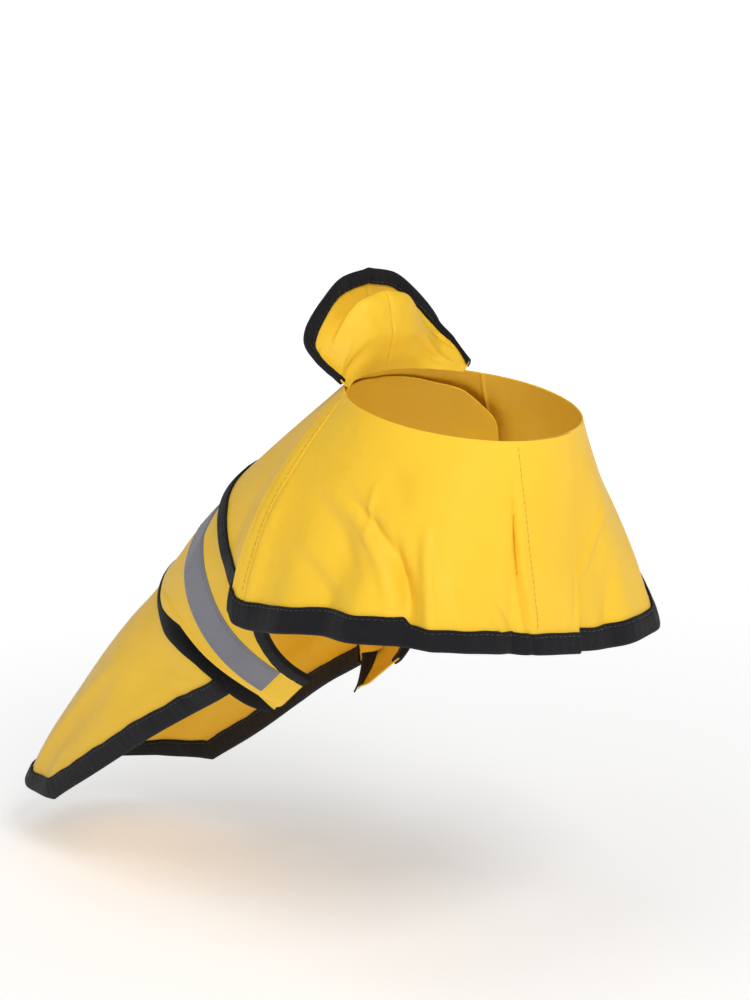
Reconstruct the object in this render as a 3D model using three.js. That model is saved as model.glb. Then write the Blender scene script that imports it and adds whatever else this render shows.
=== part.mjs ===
// Dog raincoat, worn: a short hooded cape, a saddle panel with a reflective tape,
// a tail flap and black bindings, standing open on a general form.
// Millimetres. Origin: centre of the neck ring. +X is the front, +Y the left side, +Z up.
import * as THREE from 'three';

// Driving sizes
const CLOTH = 1.0;              // wall of the coated cloth
const BINDING = 1.0;            // wall of the binding tape
const GAP = 0.3;                // clearance between pieces sewn together
const HEM_GAP = 0.4;            // the same between the cape and its hem binding
const WIDE_GAP = 0.5;           // and where a binding runs slantwise over a curved wall
const NECK_FRONT = 59;          // half length of the neck ring, front to back
const NECK_SIDE = 53.8;         // half width of the neck ring
const NECK_TILT = 8.5;          // degrees, the back of the ring is higher
const BACK_START = { x: -58, z: 4.6 };   // where the form's back line leaves the neck
const SHOULDER_ANGLE = 135;     // where the back turns into the fronts, degrees from the front
const SEAM_ANGLE = 126;         // the shoulder seams are sewn this far round
const OVERLAP_ANGLE = 11.5;     // each front passes the centre front by this much
const EDGE_LEAN = 6;            // the right front's free edge passes it by this more at the neck
const TAPE_WIDTH = 23;          // reflective tape
const TAPE_STATION = 135.2;     // where the tape crosses the back line

// How far each layer lies above the form, inner face
const LAYER = { tail: 0.3, strip: 1.6, saddle: 2.9, cape: 4.3 };

const COLOUR = { cloth: 0xf2be3c, binding: 0x1e1f24, tape: 0x70707a };
const ROUGHNESS = { cloth: 0.45, binding: 0.8 };

const table = (columns, rows) =>
  rows.map((row) => Object.fromEntries(columns.map((name, i) => [name, row[i]])));

// The form under the back: sections along the back line, with its fall in degrees
const FORM = table(['station', 'fall', 'half_width', 'height'], [
  [0, 33.0, 57.0, 64.0],
  [90, 37.6, 55.8, 57.5],
  [160, 41.0, 53.6, 56.5],
  [230, 44.0, 51.0, 52.5],
  [310, 46.5, 51.5, 50.5],
  [400, 54.0, 46.0, 46.5],
]);

// Hem of the fronts, by angle about the neck (plus is the right side)
const HEM = table(['angle', 'x', 'y', 'z'], [
  [-135, -68, 90, -97.5],
  [-122, -52, 92, -101.5],
  [-92, -10, 93, -98.5],
  [-74, 26, 93, -95.5],
  [-64, 38, 89, -105.5],
  [-54, 46, 81, -115.5],
  [-35, 60, 50, -115.5],
  [0, 64, 0, -109.5],
  [35, 60, -50, -100.5],
  [48, 50, -70, -97.5],
  [60, 34, -81, -97],
  [92, -10, -88, -99],
  [122, -52, -91, -103],
  [130, -62, -91.5, -102],
  [135, -68, -90, -97.5],
]);

// How early each part of a front swings outward below the neck (1 is a straight fall)
const FLARE = table(['angle', 'power'], [[0, 1.1], [60, 1.05], [100, 0.85], [135, 0.75]]);

// Folds of the fronts: centre and half width in degrees, depth in mm (plus is outward)
const FOLDS = table(['angle', 'half_width', 'depth'], [
  [-118, 8, -3.0],
  [-99, 10, 3.5],
  [-76, 9, -3.5],
  [-55, 9, 3.5],
  [-32, 8, -2.5],
  [19, 4, -2.2],
  [45, 4, 1.2],
  [55, 8, -4.0],
  [72, 9, 3.0],
  [87, 8, -2.5],
  [104, 9, 2.5],
]);
const FOLD_REACH = { from: 0.25, to: 0.95 };   // share of the drop over which a fold deepens
const FOLD_SHARPNESS = 1.6;
const SEAM_BLEND = 90;          // degrees from which a front turns to meet the shoulder seam

// Rear edge of the yoke in form coordinates, from the centre (0) to the shoulder (1)
const YOKE_REAR = table(['across', 'station', 'angle', 'off'], [
  [0, 103, 0, 1.9],
  [0.25, 102, 31, 1.9],
  [0.5, 97, 62, 1.9],
  [0.66, 94.5, 80, 2.5],
  [0.82, 86.5, 92, 9],
  [0.92, 79, 98, 16],
  [1, 71.2, 103.3, 29.5],
]);
const YOKE_LIFT = 1.5;          // power by which the yoke leaves the form toward its rear edge
const YOKE_NECK = { station: -12.5, angle: 35.9 };   // the seam's upper end

// Outline of the saddle, by angle from the back line: front, rear, and the strip behind it
const SADDLE = table(['angle', 'front', 'rear', 'strip'], [
  [0, 7, 184.5, 188],
  [28, 1, 182.5, 186.3],
  [45, -6, 180, 184],
  [60, -6, 177, 182.5],
  [75, 8, 169, 180.5],
  [90, 42, 156.5, 173.5],
  [105, 84, 153.5, 167],
  [120, 103, 154, 163],
  [135, 110, 154.5, 160],
  [150, 114, 156.5, 158.5],
]);
const SADDLE_REACH = 150;       // degrees each side of the back line

// Half angle of the tail flap at each station, and its rounded rear edge
const TAIL = table(['station', 'half_angle'], [
  [140, 128],
  [170, 124],
  [203, 119],
  [245, 111],
  [294, 101],
  [340, 90],
  [400, 76],
]);
const TAIL_END = 393;           // rear edge on the back line
const TAIL_CORNER = 52;         // how far the rear edge runs forward at the sides
const TAIL_ROUND = 2.8;         // power of that rear edge
const TAIL_TUCK = 12;           // the flap starts this far under the saddle
const TAIL_ROOT = 160;          // station of its front corners
const TAIL_RISE = { height: 3.2, from: 188, to: 240 };   // off the form, behind the saddle

// Rim of the hood, from the centre (0) to its end on the seam (1)
const HOOD_RIM = table(['across', 'x', 'y', 'z'], [
  [0, -68, 0, 57],
  [0.25, -69, -15, 54],
  [0.5, -68.5, -30, 43.5],
  [0.72, -66, -41.5, 29],
  [0.88, -55.5, -43.8, 20],
  [1, -41, -41, 11],
]);
// The hood's section from the neck seam to the rim: share of the height, and how far forward
const HOOD_FOLD = table(['along', 'rise', 'forward'], [
  [0, 0, 0],
  [0.14, 0.2, 7],
  [0.28, 0.46, 12.5],
  [0.4, 0.7, 12.5],
  [0.5, 0.83, 9.5],
  [0.58, 0.72, 5],
  [0.67, 0.6, 1],
  [0.76, 0.64, -3],
  [0.87, 0.8, -3.5],
  [1, 1, 0],
]);

// Visible width of each binding
const HEM_BINDING = table(['angle', 'width'], [
  [-OVERLAP_ANGLE, 9],
  [52, 9],
  [56, 12],
  [132, 12],
  [140, 9],
  [180, 8],
  [220, 9],
  [228, 12],
  [360 + OVERLAP_ANGLE, 10],
]);
const TAIL_BINDING_WIDTH = 9.5;
const SIDE_BINDING_WIDTH = 7;
const HOOD_BINDING_WIDTH = 6.5;
const HOOD_BINDING_END = 2.5;

const rad = THREE.MathUtils.degToRad;
const lerp = THREE.MathUtils.lerp;
const smooth = THREE.MathUtils.smoothstep;

// A smooth reading (monotone cubic) of one column of a table against another
function column(rows, key, name) {
  const x = rows.map((row) => row[key]);
  const y = rows.map((row) => row[name]);
  const slope = x.slice(1).map((value, i) => (y[i + 1] - y[i]) / (value - x[i]));
  const tangent = x.map((_, i) => {
    if (i === 0) return slope[0];
    if (i === x.length - 1) return slope[i - 1];
    const [a, b] = [slope[i - 1], slope[i]];
    return a * b <= 0 ? 0 : (2 * a * b) / (a + b);
  });
  return (value) => {
    const clamped = THREE.MathUtils.clamp(value, x[0], x[x.length - 1]);
    let i = x.findIndex((edge) => edge >= clamped) - 1;
    if (i < 0) i = 0;
    const step = x[i + 1] - x[i];
    const t = (clamped - x[i]) / step;
    const [t2, t3] = [t * t, t * t * t];
    return (2 * t3 - 3 * t2 + 1) * y[i] + (t3 - 2 * t2 + t) * step * tangent[i]
      + (3 * t2 - 2 * t3) * y[i + 1] + (t3 - t2) * step * tangent[i + 1];
  };
}

const fallAt = column(FORM, 'station', 'fall');
const halfWidthAt = column(FORM, 'station', 'half_width');
const heightAt = column(FORM, 'station', 'height');

// The back line, walked from the neck in steps of 1 mm, from LINE_FIRST to LINE_LAST
const LINE_FIRST = -40;
const LINE_LAST = 420;
const LINE = walkBackLine();

function walkBackLine() {
  const points = [];
  for (const direction of [-1, 1]) {
    const last = direction < 0 ? -LINE_FIRST : LINE_LAST;
    let { x, z } = BACK_START;
    for (let walked = 0; walked <= last; walked += 1) {
      points[direction * walked - LINE_FIRST] = { x, z };
      const fall = rad(fallAt(direction * (walked + 0.5)));
      x -= direction * Math.cos(fall);
      z -= direction * Math.sin(fall);
    }
  }
  return points;
}

function backLine(station) {
  const place = THREE.MathUtils.clamp(station, LINE_FIRST, LINE_LAST - 1) - LINE_FIRST;
  const i = Math.floor(place);
  const share = place - i;
  return { x: lerp(LINE[i].x, LINE[i + 1].x, share), z: lerp(LINE[i].z, LINE[i + 1].z, share) };
}

// A point over the form: station along the back line, angle round the section, height off it
function onForm(station, degrees, off) {
  const { x, z } = backLine(station);
  const fall = rad(fallAt(station));
  const angle = rad(degrees);
  const [half, height] = [halfWidthAt(station), heightAt(station)];
  const outward = new THREE.Vector2(-Math.sin(angle) / half, Math.cos(angle) / height).normalize();
  const side = -half * Math.sin(angle) + off * outward.x;
  const up = height * (Math.cos(angle) - 1) + off * outward.y;
  return new THREE.Vector3(x - Math.sin(fall) * up, side, z + Math.cos(fall) * up);
}

function neckRing(degrees) {
  const angle = rad(degrees);
  const x = NECK_FRONT * Math.cos(angle);
  return new THREE.Vector3(x, -NECK_SIDE * Math.sin(angle), -x * Math.tan(rad(NECK_TILT)));
}

// The yoke: across runs from -1 (left seam) to 1 (right seam), along from neck to rear edge
const rearStation = column(YOKE_REAR, 'across', 'station');
const rearAngle = column(YOKE_REAR, 'across', 'angle');
const rearOff = column(YOKE_REAR, 'across', 'off');

function yoke(across, along) {
  const share = Math.abs(across);
  const side = Math.sign(across) || 1;
  const neckAngle = YOKE_NECK.angle * share;
  const neckStation = YOKE_NECK.station * share * share;
  const station = lerp(neckStation, rearStation(share), along);
  const angle = side * lerp(neckAngle, rearAngle(share), along);
  const off = LAYER.cape + rearOff(share) * Math.max(along, 0) ** YOKE_LIFT;
  const point = onForm(station, angle, off);
  const start = onForm(neckStation, side * neckAngle, LAYER.cape);
  const toRing = neckRing(180 - (180 - SHOULDER_ANGLE) * across).sub(start);
  point.addScaledVector(toRing, (1 - along) ** 2);
  return point;
}

// A front: angle about the neck from -135 to 135, along from neck to hem
const hemAt = ['x', 'y', 'z'].map((axis) => column(HEM, 'angle', axis));
const flareAt = column(FLARE, 'angle', 'power');

function fall(angle, along) {
  const top = neckRing(angle);
  const hem = new THREE.Vector3(...hemAt.map((read) => read(angle)));
  const swing = Math.max(along, 0) ** flareAt(Math.abs(angle));
  return new THREE.Vector3(
    lerp(top.x, hem.x, swing), lerp(top.y, hem.y, swing), lerp(top.z, hem.z, along));
}

function front(angle, along) {
  const side = Math.sign(angle) || 1;
  const point = fall(angle, along);
  const toSeam = yoke(side, along).sub(fall(side * SHOULDER_ANGLE, along));
  point.addScaledVector(toSeam, smooth(Math.abs(angle), SEAM_BLEND, SHOULDER_ANGLE));
  const outward = new THREE.Vector3(Math.cos(rad(angle)), -Math.sin(rad(angle)), 0);
  const reach = smooth(along, FOLD_REACH.from, FOLD_REACH.to);
  for (const fold of FOLDS) {
    const share = (angle - fold.angle) / fold.half_width;
    const shape = Math.exp(-FOLD_SHARPNESS * share * share);
    point.addScaledVector(outward, fold.depth * reach * shape);
  }
  return point;
}

// The whole cape by angle: the right shoulder ends at 135, the back at 225, and the left front
// lies inside the right one at the centre front
const UNDERLAP = { neck: 1.7, hem: 5.2, from: -45, to: -15 };
const LEAN_END = 40;            // degrees, where the lean of the free edge has faded out

function cape(angle, along) {
  if (angle <= SHOULDER_ANGLE) {
    const lean = EDGE_LEAN * (1 - along) * (1 - smooth(angle, -OVERLAP_ANGLE, LEAN_END));
    return front(angle - lean, along);
  }
  if (angle < 360 - SHOULDER_ANGLE) return yoke((180 - angle) / (180 - SHOULDER_ANGLE), along);
  const turned = angle - 360;
  const inside = lerp(UNDERLAP.neck, UNDERLAP.hem, along) * smooth(turned, UNDERLAP.from, UNDERLAP.to);
  const point = front(turned, along);
  point.x -= inside;
  return point;
}

// Outward unit normal of a surface, which holds point(u, v), its facing (1 or -1) and the
// steps du and dv between which the normal is taken
function normalOf({ point, facing, du, dv }, u, v) {
  const across = point(u + du, v).sub(point(u - du, v));
  const along = point(u, v + dv).sub(point(u, v - dv));
  return across.cross(along).normalize().multiplyScalar(facing);
}

// Triangles of a grid of rings: each ring is a closed loop of points, the ends are capped
function loft(rings, name, colour, roughness) {
  const count = rings[0].length;
  const positions = rings.flat().flatMap((point) => [point.x, point.y, point.z]);
  const index = [];
  const quad = (a, b, c, d) => index.push(a, b, c, a, c, d);
  for (let i = 0; i < rings.length - 1; i += 1) {
    for (let j = 0; j < count; j += 1) {
      const next = (j + 1) % count;
      quad(i * count + j, i * count + next, (i + 1) * count + next, (i + 1) * count + j);
    }
  }
  const last = (rings.length - 1) * count;
  for (let j = 0; j < count / 2 - 1; j += 1) {
    quad(j, count - 1 - j, count - 2 - j, j + 1);
    quad(last + j + 1, last + count - 2 - j, last + count - 1 - j, last + j);
  }
  const geometry = new THREE.BufferGeometry();
  geometry.setAttribute('position', new THREE.Float32BufferAttribute(positions, 3));
  geometry.setIndex(index);
  if (signedVolume(geometry) < 0) {
    for (let k = 0; k < index.length; k += 3) [index[k], index[k + 1]] = [index[k + 1], index[k]];
    geometry.setIndex(index);
  }
  geometry.computeVertexNormals();
  const material = new THREE.MeshStandardMaterial({ color: colour, roughness, metalness: 0 });
  const mesh = new THREE.Mesh(geometry, material);
  mesh.name = name;
  return mesh;
}

function signedVolume(geometry) {
  const corner = [new THREE.Vector3(), new THREE.Vector3(), new THREE.Vector3()];
  const position = geometry.attributes.position;
  const index = geometry.index.array;
  let sum = 0;
  for (let k = 0; k < index.length; k += 3) {
    corner.forEach((vector, i) => vector.fromBufferAttribute(position, index[k + i]));
    sum += corner[0].dot(corner[1].clone().cross(corner[2]));
  }
  return sum;
}

const steps = (from, to, count) =>
  Array.from({ length: count + 1 }, (_, i) => lerp(from, to, i / count));

// A cloth wall: the surface is its inner face, and the outer one lies along the normal
function wall(name, surface, uValues, vValues, thickness = CLOTH, colour = COLOUR.cloth) {
  const rings = uValues.map((u) => {
    const inner = vValues.map((v) => surface.point(u, v));
    const outer = vValues.map((v) =>
      surface.point(u, v).addScaledVector(normalOf(surface, u, v), thickness));
    return [...inner, ...outer.reverse()];
  });
  return loft(rings, name, colour, ROUGHNESS.cloth);
}

// A binding folded round the edge of a wall: inset(u, distance) is the place on the wall's
// inner face at a distance in from its edge, with the outward normal there
function binding(name, inset, uValues, widthAt, gap = GAP) {
  const top = CLOTH + gap;
  const rings = uValues.map((u) => {
    const width = widthAt(u);
    const [edge, near, middle, far] = [0, 1, width / 2, width].map((d) => inset(u, d));
    const beyond = edge.point.clone().sub(near.point).normalize();
    const leg = (place, height) => place.point.clone().addScaledVector(place.normal, height);
    const turn = (out, height) =>
      edge.point.clone().addScaledVector(beyond, out).addScaledVector(edge.normal, height);
    return [
      leg(far, top), leg(middle, top), turn(gap, top),
      turn(gap, -gap), leg(middle, -gap), leg(far, -gap),
      leg(far, -gap - BINDING), leg(middle, -gap - BINDING), turn(gap + BINDING, -gap - BINDING),
      turn(gap + BINDING, top + BINDING), leg(middle, top + BINDING), leg(far, top + BINDING),
    ];
  });
  return loft(rings, name, COLOUR.binding, ROUGHNESS.binding);
}

// Places in from the edge v = 1 of a surface
function fromLastRow(surface) {
  const { point } = surface;
  return (u, distance) => {
    const length = point(u, 1).distanceTo(point(u, 0.9)) / 0.1;
    const v = 1 - distance / length;
    return { point: point(u, v), normal: normalOf(surface, u, v) };
  };
}

// Places in from an edge on the form: path(u) gives its station and angle, side (1 or -1) the
// way in, and off(station) the height over the form
function fromPath(path, off, side, du) {
  const point = (station, angle) => onForm(station, angle, off(station));
  const sheet = { point, facing: 1, du: 2, dv: 2 };
  return (u, distance) => {
    const [back, here, ahead] = [path(u - du), path(u), path(u + du)];
    const arc = rad((halfWidthAt(here.station) + heightAt(here.station)) / 2);
    const run = new THREE.Vector2(ahead.station - back.station, (ahead.angle - back.angle) * arc);
    const inward = new THREE.Vector2(-run.y, run.x).normalize().multiplyScalar(side * distance);
    const station = here.station + inward.x;
    const angle = here.angle + inward.y / arc;
    return { point: point(station, angle), normal: normalOf(sheet, station, angle) };
  };
}

// Cape: the cloth pieces stop short of each other by half the gap at the seams
const SEAM_INSET = 0.2;         // degrees about the neck
const capeRows = steps(0, 1, 10);
const hemWidth = column(HEM_BINDING, 'angle', 'width');
const LAST_ANGLE = 360 + OVERLAP_ANGLE;
const capeSheet = { point: cape, facing: 1, du: 0.6, dv: 0.01 };
const seams = [SEAM_ANGLE, 360 - SEAM_ANGLE];
const rightSteps = steps(-OVERLAP_ANGLE, seams[0] - SEAM_INSET, 30);
const yokeSteps = steps(seams[0] + SEAM_INSET, seams[1] - SEAM_INSET, 24);
const leftSteps = steps(seams[1] + SEAM_INSET, LAST_ANGLE, 30);
const capeSteps = [...rightSteps, ...yokeSteps, ...leftSteps];

const capePieces = [
  wall('cape_front_right', capeSheet, rightSteps, capeRows),
  wall('cape_front_left', capeSheet, leftSteps, capeRows),
  wall('cape_yoke', capeSheet, yokeSteps, capeRows),
  binding('cape_hem_binding', fromLastRow(capeSheet), capeSteps, hemWidth, HEM_GAP),
];

// Saddle: u is the angle from the back line, v runs from the front to the rear edge
const saddleFront = column(SADDLE, 'angle', 'front');
const saddleRear = column(SADDLE, 'angle', 'rear');
const stripRear = column(SADDLE, 'angle', 'strip');
const SIDE_BINDING_START = 80;  // degrees, below the cape's shoulder
const TAPE_SWEEP = 2.5;         // the tape runs forward by this much down to the flank
const TAPE_END = 136;           // degrees each side
const STRIP_TUCK = 6;           // the strip starts this far under the saddle's rear edge

function saddle(angle, v) {
  const share = Math.abs(angle);
  return onForm(lerp(saddleFront(share), saddleRear(share), v), angle, LAYER.saddle);
}

function tape(angle, v) {
  const centre = TAPE_STATION - TAPE_SWEEP * (1 - Math.cos(rad(angle)));
  return onForm(centre + (v - 0.5) * TAPE_WIDTH, angle, LAYER.saddle + CLOTH + GAP);
}

function strip(angle, v) {
  const share = Math.abs(angle);
  return onForm(lerp(saddleRear(share) - STRIP_TUCK, stripRear(share), v), angle, LAYER.strip);
}

const acrossSaddle = steps(-SADDLE_REACH, SADDLE_REACH, 36);

function sideBinding(name, side) {
  const path = (angle) => ({ station: saddleFront(angle), angle: side * angle });
  const inset = fromPath(path, () => LAYER.saddle, -side, 1);
  const angles = acrossSaddle.filter((angle) => angle > SIDE_BINDING_START);
  return binding(name, inset, angles, () => SIDE_BINDING_WIDTH, WIDE_GAP);
}

const onBody = (point) => ({ point, facing: -1, du: 1, dv: 0.05 });
const acrossTape = steps(-TAPE_END, TAPE_END, 36);
const saddlePieces = [
  wall('saddle', onBody(saddle), acrossSaddle, steps(0, 1, 9)),
  wall('reflective_tape', onBody(tape), acrossTape, [0, 1], BINDING, COLOUR.tape),
  wall('saddle_rear_binding', onBody(strip), acrossSaddle, [0, 1], BINDING, COLOUR.binding),
  sideBinding('saddle_side_binding_right', 1),
  sideBinding('saddle_side_binding_left', -1),
];

// Tail flap: u runs across from -1 to 1, v from the front to the rounded rear edge
const tailAngle = column(TAIL, 'station', 'half_angle');

const tailOff = (station) =>
  LAYER.tail + TAIL_RISE.height * smooth(station, TAIL_RISE.from, TAIL_RISE.to);
const tailEnd = (share) => TAIL_END - TAIL_CORNER * Math.min(share, 1) ** TAIL_ROUND;

const tailStart = (share) => saddleRear(share * tailAngle(TAIL_ROOT)) - TAIL_TUCK;

function tail(across, v) {
  const share = Math.abs(across);
  const station = lerp(tailStart(share), tailEnd(share), v);
  return onForm(station, across * tailAngle(station), tailOff(station));
}

// The flap's bound edge, from the left side round the rear to the right side; beyond
// TAIL_SIDE of its run each way it follows a side edge, through the same rows as the flap
const TAIL_ROWS = 13;
const TAIL_FREE_ROW = 1.7;        // the binding starts at this row, clear of the saddle
const TAIL_SIDE = 0.5;

function tailPath(u) {
  const share = Math.abs(u);
  const side = Math.sign(u) || 1;
  if (share > TAIL_SIDE) {
    const up = (share - TAIL_SIDE) / (1 - TAIL_SIDE);
    const row = lerp(TAIL_ROWS, TAIL_FREE_ROW, up) / TAIL_ROWS;
    const station = lerp(tailStart(1), tailEnd(1), row);
    return { station, angle: side * tailAngle(station) };
  }
  const out = share / TAIL_SIDE;
  return { station: tailEnd(out), angle: side * out * tailAngle(tailEnd(out)) };
}

const acrossTail = steps(-1, 1, 26);
const sideSteps = steps(1, TAIL_SIDE, TAIL_ROWS - 1).slice(0, -1);
const boundSteps = [
  ...sideSteps.map((u) => -u),
  ...acrossTail.map((u) => u * TAIL_SIDE),
  ...sideSteps.reverse(),
];
const tailInset = fromPath(tailPath, tailOff, 1, 0.02);
const tailSheet = { point: tail, facing: -1, du: 0.01, dv: 0.01 };
const tailPieces = [
  wall('tail_flap', tailSheet, acrossTail, steps(0, 1, TAIL_ROWS)),
  binding('tail_hem_binding', tailInset, boundSteps, () => TAIL_BINDING_WIDTH, WIDE_GAP),
];

// Hood: thrown back, it stands behind the neck with one deep fold; u runs from -1 to 1 across
const rimAt = ['x', 'y', 'z'].map((axis) => column(HOOD_RIM, 'across', axis));
const riseAt = column(HOOD_FOLD, 'along', 'rise');
const forwardAt = column(HOOD_FOLD, 'along', 'forward');
const HOOD_INSET = 2.2;         // the seam lies this far inside the neck ring
const HOOD_FULL = 50;           // height at which the fold has its full depth
const HOOD_PLAIN = { from: 0.35, to: 0.85 };   // shares of it between which the fold fades in
const HOOD_SIDES = { from: 0.3, to: 0.85 };    // shares across between which it fades out again
const HOOD_SEAM = 0.006;        // share left free each side of the centre seam

function hood(across, along) {
  const share = Math.abs(across);
  const side = Math.sign(across) || 1;
  const angle = 180 - (180 - SHOULDER_ANGLE) * across;
  const inward = new THREE.Vector3(-Math.cos(rad(angle)), Math.sin(rad(angle)), 0);
  const base = neckRing(angle).addScaledVector(inward, HOOD_INSET);
  const rim = new THREE.Vector3(rimAt[0](share), side * rimAt[1](share), rimAt[2](share));
  const rise = rim.sub(base);
  const size = rise.length() / HOOD_FULL;
  const deep = 1 - smooth(share, HOOD_SIDES.from, HOOD_SIDES.to);
  const fold = deep * smooth(size, HOOD_PLAIN.from, HOOD_PLAIN.to);
  const forward = forwardAt(along) * size * deep;
  return base.addScaledVector(rise, lerp(along, riseAt(along), fold))
    .addScaledVector(inward, forward);
}

const hoodRows = steps(0, 1, 18);
const halfHood = steps(HOOD_SEAM, 1, 13);
const otherHalf = halfHood.map((u) => -u).reverse();
const hoodSheet = { point: hood, facing: 1, du: 0.005, dv: 0.01 };
const rimWidth = (u) => lerp(HOOD_BINDING_WIDTH, HOOD_BINDING_END, smooth(Math.abs(u), 0.6, 1));
const rimSteps = [...otherHalf, ...halfHood];
const hoodPieces = [
  wall('hood_right', hoodSheet, halfHood, hoodRows),
  wall('hood_left', hoodSheet, otherHalf, hoodRows),
  binding('hood_rim_binding', fromLastRow(hoodSheet), rimSteps, rimWidth, WIDE_GAP),
];

const garment = new THREE.Group();
garment.name = 'dog_raincoat';
garment.add(...capePieces, ...saddlePieces, ...tailPieces, ...hoodPieces);

export default garment;
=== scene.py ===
"""Looks of the dog raincoat, held in its worn form. Sizes are in millimetres until a mesh is
made; the model itself is in metres. +X is the garment's front, +Y its left side, +Z up."""

import bpy
import numpy as np
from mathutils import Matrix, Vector


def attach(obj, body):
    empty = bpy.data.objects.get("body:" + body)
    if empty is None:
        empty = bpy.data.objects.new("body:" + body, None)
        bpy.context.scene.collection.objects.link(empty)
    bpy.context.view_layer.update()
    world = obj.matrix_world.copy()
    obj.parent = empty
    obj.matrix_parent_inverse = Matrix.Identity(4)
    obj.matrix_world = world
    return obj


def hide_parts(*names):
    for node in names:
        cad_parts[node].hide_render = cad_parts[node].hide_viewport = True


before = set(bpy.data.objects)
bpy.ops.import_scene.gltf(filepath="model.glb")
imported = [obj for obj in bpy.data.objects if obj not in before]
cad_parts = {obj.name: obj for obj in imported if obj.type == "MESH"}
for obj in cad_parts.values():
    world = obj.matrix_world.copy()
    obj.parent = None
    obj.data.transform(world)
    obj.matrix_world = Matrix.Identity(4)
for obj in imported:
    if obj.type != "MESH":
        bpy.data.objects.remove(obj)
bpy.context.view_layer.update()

# Camera: three quarters from the garment's front right and a little above the hem, with a long
# lens. The neck ring's centre lies up and right of the picture's middle.
AZIMUTH, ELEVATION = np.radians(48), np.radians(10)
DISTANCE, LENS, SENSOR = 1.3, 98.3, 36
SHIFT_ACROSS, SHIFT_UP = -0.088, -0.097
FAR_CLIP = 200
camera_back = Vector((np.sin(AZIMUTH) * np.cos(ELEVATION),
                      -np.cos(AZIMUTH) * np.cos(ELEVATION), np.sin(ELEVATION)))
camera_right = Vector((np.cos(AZIMUTH), np.sin(AZIMUTH), 0))
camera_data = bpy.data.cameras.new("view")
camera_data.lens, camera_data.sensor_width = LENS, SENSOR
camera_data.shift_x, camera_data.shift_y = SHIFT_ACROSS, SHIFT_UP
camera_data.clip_end = FAR_CLIP
camera = bpy.data.objects.new("view", camera_data)
camera.location = camera_back * DISTANCE
camera.rotation_mode = "QUATERNION"
camera.rotation_quaternion = (-camera_back).to_track_quat("-Z", "Y")
bpy.context.scene.collection.objects.link(camera)
bpy.context.scene.camera = camera

# Floor, wall and light: a pale floor a hand's breadth under the hem, which glows further out so
# that it goes over into a low white wall far behind, and three wide soft lamps round the camera.
FLOOR_HEIGHT, FLOOR_REACH, WALL_HEIGHT = -0.292, 60.0, 6.0
FLOOR_NEAR, FLOOR_FAR, NEAR_GLOW = 0.3, 1.4, 0.4
UP = Vector((0, 0, 1))


class Wire:
    """One output of a shader node. Sums and products of wires and numbers add Math nodes."""

    def __init__(self, finish, socket):
        self.finish, self.socket = finish, socket

    def math(self, operation, *values):
        """A Math node on wires or numbers."""
        return self.finish.node("ShaderNodeMath", {"operation": operation},
                                dict(enumerate(values)))

    def __add__(self, other):
        return self.math("ADD", self, other)

    def __sub__(self, other):
        return self.math("SUBTRACT", self, other)

    def __rsub__(self, other):
        return self.math("SUBTRACT", other, self)

    def __mul__(self, other):
        return self.math("MULTIPLY", self, other)

    __radd__, __rmul__ = __add__, __mul__


class Finish:
    """A material as it is mixed: one Principled surface, and one way to add any other node."""

    def __init__(self, name, fixed):
        self.material = bpy.data.materials.new(name)
        self.material.use_nodes = True
        self.tree = self.material.node_tree
        self.surface = self.tree.nodes["Principled BSDF"]
        for socket, value in fixed.items():
            self.surface.inputs[socket].default_value = value

    def node(self, kind, settings=None, inputs=None, output=0):
        """Adds a node: first its settings, then the values or wires of its sockets."""
        made = self.tree.nodes.new(kind)
        for key, value in (settings or {}).items():
            if key == "stops":
                ramp = made.color_ramp
                for _ in range(len(value) - len(ramp.elements)):
                    ramp.elements.new(1)
                for element, (place, colour) in zip(ramp.elements, value):
                    element.position, element.color = place, (*colour, 1)
            else:
                setattr(made, key, value)
        for key, value in (inputs or {}).items():
            self.plug(made.inputs[key], value)
        return Wire(self, made.outputs[output])

    def plug(self, socket, value):
        """Leads a wire into a socket, or sets the socket's value."""
        if isinstance(value, Wire):
            self.tree.links.new(value.socket, socket)
        elif socket.type == "RGBA":
            socket.default_value = (*value, 1)
        else:
            socket.default_value = value

    def dress(self, varying):
        """Plugs in what varies over the surface, and gives the finished material."""
        for socket, value in varying.items():
            self.plug(self.surface.inputs[socket], value)
        return self.material

    def noise(self, scale, detail=2.0, roughness=0.5, place=None):
        """A noise between 0 and 1 on object coordinates, with scale waves a metre."""
        where = place or self.node("ShaderNodeTexCoord", output="Object")
        return self.node("ShaderNodeTexNoise", {}, {"Vector": where, "Scale": scale,
                                                    "Detail": detail, "Roughness": roughness})

    def mixed(self, share, first, second):
        """A colour between two colours."""
        return self.node("ShaderNodeMix", {"data_type": "RGBA"},
                         {0: share, 6: first, 7: second}, 2)

    def waves(self, period, axis):
        """Sine waves of that period in mm along the cut: axis 0 across, 1 along."""
        place = self.node("ShaderNodeTexCoord", output="UV")
        split = self.node("ShaderNodeSeparateXYZ", {}, {0: place}, axis)
        return split.math("SINE", split * (2 * np.pi / period))

    def bumps(self, rows):
        """Bump nodes in a chain: each row is a height wire and its depth in mm."""
        normal = None
        for height, depth in rows:
            inputs = {"Height": height, "Distance": depth / 1000, "Strength": 1.0}
            if normal:
                inputs["Normal"] = normal
            normal = self.node("ShaderNodeBump", {}, inputs)
        return normal


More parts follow.
